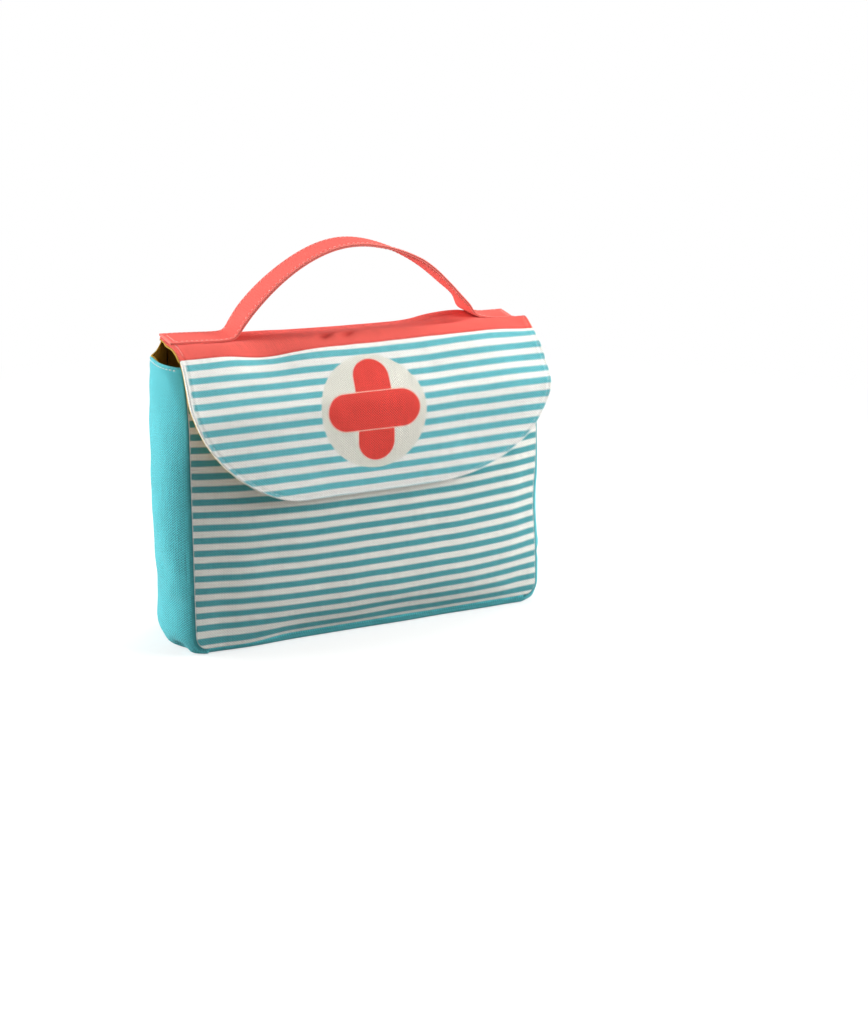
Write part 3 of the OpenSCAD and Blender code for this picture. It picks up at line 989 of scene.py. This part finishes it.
def stripes(m, u, v, first):
    """1 on a stripe, 0 between stripes, with slightly bled edges that drift a little."""
    drift = m.noise(m.vector(u, v * 0.4), 0.02, 1.0) - 0.5
    at = v + bled(m, u, v) * 0.9 + drift * 1.2
    turns = m.math("FRACT", (at - first) / STRIPE_PITCH + 0.5)
    return 1.0 - m.step(abs(turns - 0.5) * STRIPE_PITCH, STRIPE_W / 2, 0.5)


def striped_canvas(name, first, ground, stripe, badge=None, left_margin=0.7, right_margin=0.7):
    """Canvas printed with stripes up to a margin at its edges; badge(m, u, v, colour) prints over them."""
    material, m = material_nodes(name)
    u, v, d = m.cloth()
    uneven = bled(m, u, v, 0.7)
    left = m.range(m.step(v, 95, 40), left_margin, right_margin)
    margin = left + (right_margin - left) * m.step(u, 0, 100)
    on = stripes(m, u, v, first) * (uneven * 0.2 + 0.96)
    on = on * m.step(d + uneven * 0.8 - margin, 0.0, 1.0)
    colour = m.mix(on, ground, stripe)
    if badge is not None:
        colour = badge(m, u, v, colour)
    finish_cloth(m, colour, u, v, contrast=1.05)
    return material


BADGE_X, BADGE_S, BADGE_HALF_W, BADGE_HALF_H = -3.1, 95.4, 34.1, 35.6
LEVEL_HALF, UPRIGHT_HALF, PLASTER_R, UPRIGHT_TURN = 29.5, 31.8, 11.5, math.radians(92)


def plaster(m, along, sideways, half, grow=0.0):
    """1 on a sticking plaster with round ends: a distance from its middle line."""
    past = m.math("MAXIMUM", abs(along) - (half - PLASTER_R), 0.0)
    return 1.0 - m.step(m.length(past, sideways), PLASTER_R + grow, 0.5)


def crossed_plasters(m, u, v, under):
    """A plain round patch of colour with an upright and a level sticking plaster crossed on it."""
    bleed = bled(m, u, v) * 0.5
    x, y = u - BADGE_X + bleed, v - BADGE_S + bleed
    disc = 1.0 - m.step(m.length(x / BADGE_HALF_W, y / BADGE_HALF_H), 1.0, 0.015)
    c, s = math.cos(UPRIGHT_TURN), math.sin(UPRIGHT_TURN)
    off_x, off_y = x - 0.7, y + 0.9
    upright = (off_x * c + off_y * s, off_y * c - off_x * s, UPRIGHT_HALF)
    level = (x, y, LEVEL_HALF)
    colour = m.mix(disc, under, DISC)
    colour = m.mix(plaster(m, *upright, 0.6) * 0.5, colour, CROSSING)
    colour = m.mix(plaster(m, *upright), colour, PLASTER)
    colour = m.mix(plaster(m, *level, 0.7) * 0.8, colour, CROSSING)
    return m.mix(plaster(m, *level), colour, PLASTER)


def thread_material(name, colour):
    material, m = material_nodes(name)
    fibres = m.noise(m.value("TexCoord", None, "Object"), 4000.0, 3.0, 0.7)
    spun = m.scaled(colour, m.range(fibres, 0.8, 1.1))
    m.shade({"Base Color": spun, "Roughness": 0.75, "Sheen Weight": 0.3})
    m.bump(fibres, 0.5, 0.2)
    return material


def board_material(name):
    material, m = material_nodes(name)
    u, v, _ = m.cloth()
    fibres = m.noise(m.vector(u, v * 0.4), 0.8, 6.0, 0.7)
    m.shade({"Base Color": m.mix(fibres, BOARD_DARK, BOARD_PALE), "Roughness": 0.9})
    m.bump(fibres, 0.3, 0.2)
    return material


def fastener_material(name, scale, depth):
    """The loop or hook face of a touch fastener: fine tufts or rows of hooks."""
    material, m = material_nodes(name)
    u, v, _ = m.cloth()
    hollow = m.value("TexVoronoi", {"Scale": scale, "Vector": m.vector(u, v)}, "Distance")
    tufts = m.mix(hollow, FASTENER_PALE, FASTENER_DARK)
    m.shade({"Base Color": tufts, "Roughness": 0.85, "Sheen Weight": 0.4})
    m.bump(1.0 - hollow, 0.8, depth)
    return material


# Each finish is a material and the slot that it goes by
DULL = {"sheen": 0.03, "shine": 0.05}
BODY_CANVAS = striped_canvas("body_stripes", BODY_STRIPE_Z, BODY_WHITE_SHADED, BODY_STRIPE_SHADED), "striped_canvas"
FLAP_CANVAS = (striped_canvas("flap_stripes", FLAP_STRIPE_S, WHITE, STRIPE, crossed_plasters, 2.0, 0.8),
               "striped_canvas")
TEAL_CANVAS = plain_canvas("teal_canvas", TEAL, seam_shade, contrast=1.25), "teal_canvas"
BAND_CANVAS = (plain_canvas("coral_canvas", CORAL, band_crease_shade, contrast=1.3, bump=0.25, **DULL),
               "coral_canvas")
STRAP_CANVAS = (plain_canvas("strap_canvas", CORAL, strap_pale_edges_and_cleft_shade, contrast=0.5, bump=0.12, **DULL),
                "coral_canvas")
CASE_COTTON = plain_canvas("mustard_cotton", MUSTARD, contrast=0.35, thread=0.5), "mustard_lining"
FLAP_COTTON = (plain_canvas("mustard_flap_cotton", MUSTARD, lining_edges, contrast=0.35, thread=0.5),
               "mustard_lining")
STIFFENER = board_material("grey_board"), "stiffener_board"
LOOP_FACE = fastener_material("loop_face", 1.1, 0.4), "touch_fastener"
HOOK_FACE = fastener_material("hook_face", 0.9, 0.6), "touch_fastener"
white_thread = thread_material("white_thread", WHITE_THREAD)
pink_thread = thread_material("pink_thread", PINK_THREAD)


# Pieces


def dress(piece, finish, nodes=(), body="case", joint=None):
    """Gives a piece its material and hides the CAD nodes that it stands for; without a joint it is parented
    to its body, and with one its place is baked into its points.
    """
    material, slot = finish
    piece.data.materials.append(material)
    if joint is None:
        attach(piece, body)
    else:
        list(joint)
        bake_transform(piece)
    if nodes:
        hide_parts(*nodes)


def in_metres(y, z):
    return (0.0, y * MM, z * MM)


def flap_place(s):
    """Place in the flap's canvas beside its edge, where nothing sags, at a distance from the hinge."""
    _, y, z = flap_surface(np.array(200.0), np.array(float(s)), 1.0)
    return in_metres(y, z)


# Joints across which cloth bends: the two bodies, and the places where the bend starts and ends
FOLD = ("flap_top", "flap_front", flap_place(BAND_LEN - 3), flap_place(BAND_LEN + 9))
HINGE = ("case", "flap_top", in_metres(32.5, 185.0), in_metres(27.0, 191.5))
TILT = ("flap_top", "handle", in_metres(STRAP_Y, 194.0), in_metres(STRAP_Y, 205.0))

FRONT, BACK, SIDES = (front_surface, FRONT_H), (back_surface, BACK_H), {"left": -1, "right": 1}
BOARD_TRIM = 14
for side, panel, seams in (("front", FRONT, 1), ("back", BACK, -1)):
    dress(panel_layer(f"{side}_cloth", *panel, CANVAS, seams=seams), BODY_CANVAS, [f"{side}_panel"])
    dress(panel_layer(f"{side}_card", *panel, BOARD, trim=BOARD_TRIM), STIFFENER, [f"{side}_board"])
    lining = panel_layer(f"{side}_lining_cloth", *panel, LINING, sewn_rim=True)
    dress(lining, CASE_COTTON, [f"{side}_lining"])
for side, way in SIDES.items():
    dress(gusset_layer(f"{side}_gusset_cloth", way, CANVAS), TEAL_CANVAS, [f"{side}_gusset"])
    lining = gusset_layer(f"{side}_gusset_lining_cloth", way, GUSSET_LINING, lining=True)
    dress(lining, CASE_COTTON, [f"{side}_gusset_lining"])
dress(bottom_layer("bottom_cloth", CANVAS), TEAL_CANVAS, ["bottom_panel"])
dress(bottom_layer("bottom_lining_cloth", LINING), CASE_COTTON, ["bottom_lining"])


def base_card():
    """The board in the base: a thin plate with rounded corners and worn edges."""
    depth, width = BOARD_SHARE * BASE_D, 2 * (CASE_W / 2 - CORNER_R - 2)
    k = steps(-1, 1, 0.06, (0, 0.005, 0.012, 0.025))
    g_y, g_x = grid(k, k)
    pinch = 1 - 0.012 * smooth((abs(g_x) - 0.94) / 0.06) * smooth((abs(g_y) - 0.8) / 0.2)
    x, y = g_x * width / 2 * pinch, FRONT_SEAM_Y0 + BASE_D / 2 + g_y * depth / 2 * pinch
    top, under = (columns(x, y, 0 * x + z) for z in BOARD)
    return layer_piece("base_card", top, under, columns(x, y, 0 * x + FAR_IN / 2), 0.2)


dress(base_card(), STIFFENER, ["base_board"])

# The flap's parts as the distances from the hinge between which they lie
BAND_BACK, HINGE_INSIDE, BAND, PANEL = (-11.0, 15.0), (-2.5, 15.0), (15.0, BAND_LEN), (BAND_LEN, FLAP_END_S)
for name, part, finish, nodes, joint in (
    ("band_back_cloth", BAND_BACK, BAND_CANVAS, (), HINGE),
    ("band_cloth", BAND, BAND_CANVAS, ["flap_band"], FOLD),
    ("flap_cloth", PANEL, FLAP_CANVAS, ["flap_panel"], FOLD),
):
    dress(flap_layer(name, *part, CANVAS, canvas=True), finish, nodes, joint=joint)
for name, part, wider, finish, nodes, joint in (
    ("band_lining_cloth", BAND, 0.7, FLAP_COTTON, ["flap_band_lining"], FOLD),
    ("flap_lining_cloth", PANEL, 0.02, FLAP_COTTON, ["flap_panel_lining"], FOLD),
    ("hinge_lining_cloth", HINGE_INSIDE, 0.2, CASE_COTTON, (), HINGE),
):
    dress(flap_layer(name, *part, FLAP_LINING, wider), finish, nodes, joint=joint)
strap_nodes = ["handle_strap", "handle_left_end", "handle_right_end"]
dress(strap_piece("strap_cloth"), STRAP_CANVAS, strap_nodes, joint=TILT)


# Touch-fastener patches: one on the flap's inside, one on the front panel
PATCH_W, PATCH_H, PATCH_T, PATCH_Z, PATCH_S = 40.0, 16.0, 1.3, 110.0, 124.0
HOOK_AT = FLAP_LINING[1] + 0.1


def patch(name, surface, t_face, t_back):
    """A patch between two depths, thinner towards its sewn edge."""
    near = (0, 0.4, 0.9, 1.5)
    q = steps(-PATCH_H / 2, PATCH_H / 2, 1.6, near)
    p = steps(-PATCH_W / 2, PATCH_W / 2, 1.8, near)
    g_q, g_p = grid(q, p)
    d = np.minimum(PATCH_W / 2 - abs(g_p), PATCH_H / 2 - abs(g_q))
    thin = 0.36 * smooth((1.6 - d) / 1.2) * (t_back - t_face)
    face, back = surface(g_p, g_q, t_face + thin), surface(g_p, g_q, t_back)
    return layer_piece(name, face, back, columns(g_p, g_q, d), 0.15)


def front_outside(p, q, t):
    """Place on the front panel's outer face, t outwards from it."""
    z = PATCH_Z + q
    return columns(p, front_y(p / seam_x(z, 0), p, z, 0) - t, z)


def flap_inside(p, q, t):
    return flap_surface(p, PATCH_S + PATCH_H / 2 + q, HOOK_AT + PATCH_T - t)


dress(patch("loop_pad", front_outside, PATCH_T, 0.05), LOOP_FACE, ["loop_patch"])
dress(patch("hook_pad", flap_inside, 0.0, PATCH_T - 0.05), HOOK_FACE, ["hook_patch"], "flap_front")


# Stitching on the pieces. Each function below gives points for (p, q) on a cloth's outside.


def on_flap(x, s):
    d = distance_to(columns(x, s), FLAP_FREE_EDGE)
    return flap_surface(x, s, 0.1 * hill(d, SIDE_STITCH_IN, 0.75) - flap_hem(d))


def on_gusset(side):
    """p goes along the gusset's rim from the front, q down from the rim."""
    def surface(p, q):
        u = p / GUSSET_DEPTH
        up = (rim_z(u) - q - CORNER_TOP_Z) / (rim_z(u) - CORNER_TOP_Z)
        inward = roll(np.minimum(u, 1 - u) * GUSSET_DEPTH) - hem(q)
        return gusset_surface(side, u, 90.0 + 0 * u, up, 0.0, inward)
    return surface


def on_front(p, q):
    """p goes across the front panel, q down from its rim."""
    z = FRONT_H - q
    up = (z - CORNER_TOP_Z) / (FRONT_H - CORNER_TOP_Z)
    at = front_surface(p / row_half(90.0, z, 0.0), 90.0 + 0 * p, up, 0.0)
    return at - columns(0 * p, hem(q), 0 * p)


def on_strap(side):
    """p counts along STRAP_LINE, q across the strap; side is 1 on its upper face, -1 on the lower one."""
    def surface(p, q):
        return strap_surface(p, q, side * (STRAP_T / 2 - 0.1))
    return surface


flap_run = inset_line(FLAP_FREE_EDGE, SIDE_STITCH_IN)
on_band = flap_run[(flap_run[:, 1] > 17) & (flap_run[:, 1] < BAND_LEN - 0.5)]
on_panel = flap_run[flap_run[:, 1] > BAND_LEN + 0.5]
band_sides = [on_band[on_band[:, 0] < 0], on_band[on_band[:, 0] > 0]]
striped_thread, coral_thread = (white_thread, "striped_canvas"), (pink_thread, "coral_canvas")
dress(stitches("flap_edge_stitches", [on_panel], on_flap), striped_thread, joint=FOLD)
dress(stitches("band_edge_stitches", band_sides, on_flap), coral_thread, joint=FOLD)
gusset_rim = [(3.0, RIM_STITCH_IN), (65.0, RIM_STITCH_IN)]
for side, way in SIDES.items():
    rim = stitches(f"{side}_rim_stitches", [gusset_rim], on_gusset(way), width=0.95, height=0.5)
    dress(rim, (white_thread, "teal_canvas"))
front_rim = [(-112.0, RIM_STITCH_IN), (112.0, RIM_STITCH_IN)]
dress(stitches("front_rim_stitches", [front_rim], on_front), striped_thread)

last, run_y = len(STRAP_LINE) - 1, STRAP_HALF_W - STRAP_STITCH_IN
runs = [[(0.6, y), (last - 0.6, y)] for y in (-run_y, run_y)]
ends = [[(i, -run_y), (i, run_y)] for i in (1.3, last - 1.3)]
free_from = int(np.argmax(STRAP_LINE[:, 1] > 3.0))
under_runs = [[(free_from, y), (last - free_from, y)] for y in (-run_y, run_y)]
dress(stitches("strap_stitches", runs + ends, on_strap(1), width=0.7, height=0.35), coral_thread, joint=TILT)
under = stitches("strap_under_stitches", under_runs, on_strap(-1), width=0.6, height=0.3, facing=-1)
dress(under, coral_thread, joint=TILT)


# Floor, light and camera

FLOOR_GLOW, FLOOR_GREY, FLOOR_HALF = 0.66, 0.45, 9000.0
WORLD_COLOUR, WORLD_STRENGTH = (1.0, 0.96, 0.89, 1), 0.25
# Lamps: place, size, watts and colour. They are aimed at LAMP_AIM.
LAMP_AIM = (0, 0, 90)
LAMPS = {
    "key": ((820, -570, 540), 500, 10.8, (0.99, 1.0, 1.0)),
    "left": ((-1080, 560, 300), 700, 20.0, (0.96, 0.99, 1.0)),
    "top": ((350, 250, 1250), 700, 10.0, (1.0, 1.0, 1.0)),
}
# The photograph's view: degrees to the left of the front and down, the point looked at, the distance
# from it, the camera's own move to the right and down, and the lens in pixels for 1024 pixels of height
VIEW_TURN, VIEW_RISE, VIEW_AT, VIEW_FAR = 23.0, 19.2, (0, 8.5, 90), 1135
VIEW_RIGHT, VIEW_DOWN, VIEW_LENS_PX, VIEW_HEIGHT_PX, SENSOR = 54, 20, 1750, 1024, 36.0


def floor_material():
    """A pale floor that keeps the shadow near the case and is plain white further away."""
    material, m = material_nodes("floor")
    grey = (FLOOR_GREY, FLOOR_GREY, FLOOR_GREY, 1)
    shaded = m.shade({"Base Color": grey, "Roughness": 1.0, "Specular IOR Level": 0.0})
    seen = m.seen()
    glow = m.value("Emission", {"Color": (1, 1, 1, 1), "Strength": seen * FLOOR_GLOW})
    near = m.value("AddShader", {0: shaded, 1: glow})
    x, y, _ = m.split(m.value("TexCoord", None, "Object"))
    away = seen * m.step(m.length(x, y), 0.5, 0.5)
    out = next(n for n in m.tree.nodes if n.type == "OUTPUT_MATERIAL")
    m.put(out.inputs["Surface"], m.value("MixShader", {0: away, 1: near, 2: m.value("Emission")}))
    return material


def make_floor():
    corners = [(x * FLOOR_HALF, y * FLOOR_HALF, 0) for x, y in ((-1, -1), (1, -1), (1, 1), (-1, 1))]
    made = make_object("floor", corners, [[0, 1, 2, 3]])
    made.data.materials.append(floor_material())


def make_world():
    """Dim warm light all round, which the camera, glossy surfaces and glass see as white."""
    world = bpy.data.worlds.new("studio")
    bpy.context.scene.world = world
    m = Nodes(world)
    m.tree.nodes.clear()
    light = m.value("Background", {"Color": WORLD_COLOUR, "Strength": WORLD_STRENGTH})
    white = m.value("Background", {"Color": (1, 1, 1, 1), "Strength": 1.0})
    m.node("OutputWorld", {"Surface": m.value("MixShader", {0: m.seen(), 1: light, 2: white})})


def make_lamp(name, place, size, watts, colour):
    data = bpy.data.lights.new(name, "AREA")
    data.shape = "RECTANGLE"
    data.size = data.size_y = size * MM
    data.energy = watts
    data.color = colour
    lamp = bpy.data.objects.new(name, data)
    lamp.location = Vector(place) * MM
    lamp.rotation_euler = (Vector(LAMP_AIM) - Vector(place)).to_track_quat("-Z", "Y").to_euler()
    bpy.context.scene.collection.objects.link(lamp)


def make_camera():
    turn, rise = math.radians(VIEW_TURN), math.radians(VIEW_RISE)
    back = Vector((-math.sin(turn) * math.cos(rise), -math.cos(turn) * math.cos(rise), math.sin(rise)))
    right = Vector((math.cos(turn), -math.sin(turn), 0))
    place = Vector(VIEW_AT) + back * VIEW_FAR + right * VIEW_RIGHT - back.cross(right) * VIEW_DOWN
    data = bpy.data.cameras.new("camera")
    data.sensor_width = SENSOR
    data.lens = VIEW_LENS_PX / VIEW_HEIGHT_PX * SENSOR
    data.clip_start, data.clip_end = 0.05, 20
    camera = bpy.data.objects.new("camera", data)
    camera.location = place * MM
    camera.rotation_euler = (-back).to_track_quat("-Z", "Y").to_euler()
    bpy.context.scene.collection.objects.link(camera)
    bpy.context.scene.camera = camera


make_floor()
make_world()
for name, settings in LAMPS.items():
    make_lamp(name, *settings)
make_camera()
bpy.context.scene.view_settings.view_transform = "Standard"
